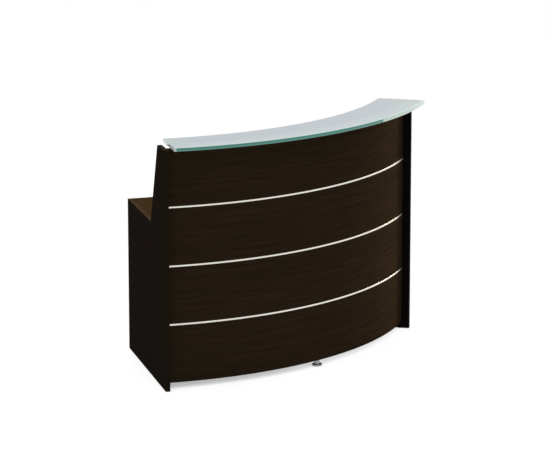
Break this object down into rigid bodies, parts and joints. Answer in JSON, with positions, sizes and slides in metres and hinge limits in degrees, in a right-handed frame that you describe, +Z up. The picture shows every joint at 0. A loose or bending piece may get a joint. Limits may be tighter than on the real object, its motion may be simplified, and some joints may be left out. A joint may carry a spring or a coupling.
{
  "type": "reception counter",
  "caption": "Curved free-standing reception counter: dark wood-grain front with metal inlay strips, stepped end panels, desk-height worksurface, frosted glass top and a levelling foot.",
  "frame": {"origin": "on the floor, at the middle of the outer box in plan", "axes": "+Z up, the visitor's side faces -Y, the sitter's side +Y, +X to the right as seen by the visitor"},
  "size_m": [1.6738, 0.9982, 1.1689],
  "materials": {
    "wenge_laminate": "satin laminate with horizontal dark grain",
    "wenge_edging": "satin",
    "stained_timber": "stained, matt",
    "beech": "plain, fluted",
    "satin_aluminium": "satin, brushed along its length",
    "frosted_glass": "frosted faces, polished green edge",
    "satin_steel": "brushed",
    "clear_rubber": "clear, soft",
    "chrome_plate": "polished",
    "black_plastic": "moulded, matt",
    "brown_plastic": "moulded, matt",
    "zinc_steel": "zinc plated"
  },
  "bodies": {
    "counter": {"corner_batten_left": "stained_timber", "corner_batten_right": "stained_timber", "end_panel_left": "wenge_laminate", "end_panel_left_edging": "wenge_edging", "end_panel_right": "wenge_laminate", "end_panel_right_edging": "wenge_edging", "floor_glides": "black_plastic", "foot_plate": "zinc_steel", "foot_plate_screws": "zinc_steel", "foot_stud": "zinc_steel", "frame_screws": "zinc_steel", "front_backing": "wenge_laminate", "front_dowels": "beech", "front_panel_bottom": "wenge_laminate", "front_panel_lower": "wenge_laminate", "front_panel_screws": "zinc_steel", "front_panel_top": "wenge_laminate", "front_panel_upper": "wenge_laminate", "glass_arm_screws": "zinc_steel", "glass_arms": "satin_steel", "glass_pads": "clear_rubber", "glass_top": "frosted_glass", "inlay_strip_lower": "satin_aluminium", "inlay_strip_middle": "satin_aluminium", "inlay_strip_upper": "satin_aluminium", "screw_cover_caps": "brown_plastic", "worksurface": "wenge_laminate", "worksurface_edging": "wenge_edging", "worksurface_ledger_front": "stained_timber", "worksurface_ledger_left": "stained_timber", "worksurface_ledger_right": "stained_timber", "worksurface_screws": "zinc_steel"},
    "foot_slider": {"foot_pad": "black_plastic"},
    "foot_turner": {"foot_flange": "chrome_plate", "foot_barrel": "chrome_plate"}
  },
  "joints": [
    {"name": "foot_height", "type": "slide", "parent": "counter", "child": "foot_slider", "axis": [0, 0, -1], "range_m": [0, 0.012]},
    {"name": "foot_turn", "type": "hinge", "parent": "foot_slider", "child": "foot_turner", "pos_m": [0, -0.36443, 0.006], "axis": [0, 0, -1], "range_deg": [0, 2880]}
  ],
  "couplings": [
    {"joint": "foot_turn", "follows": "foot_height", "rad_per_m": 4188.8}
  ]
}
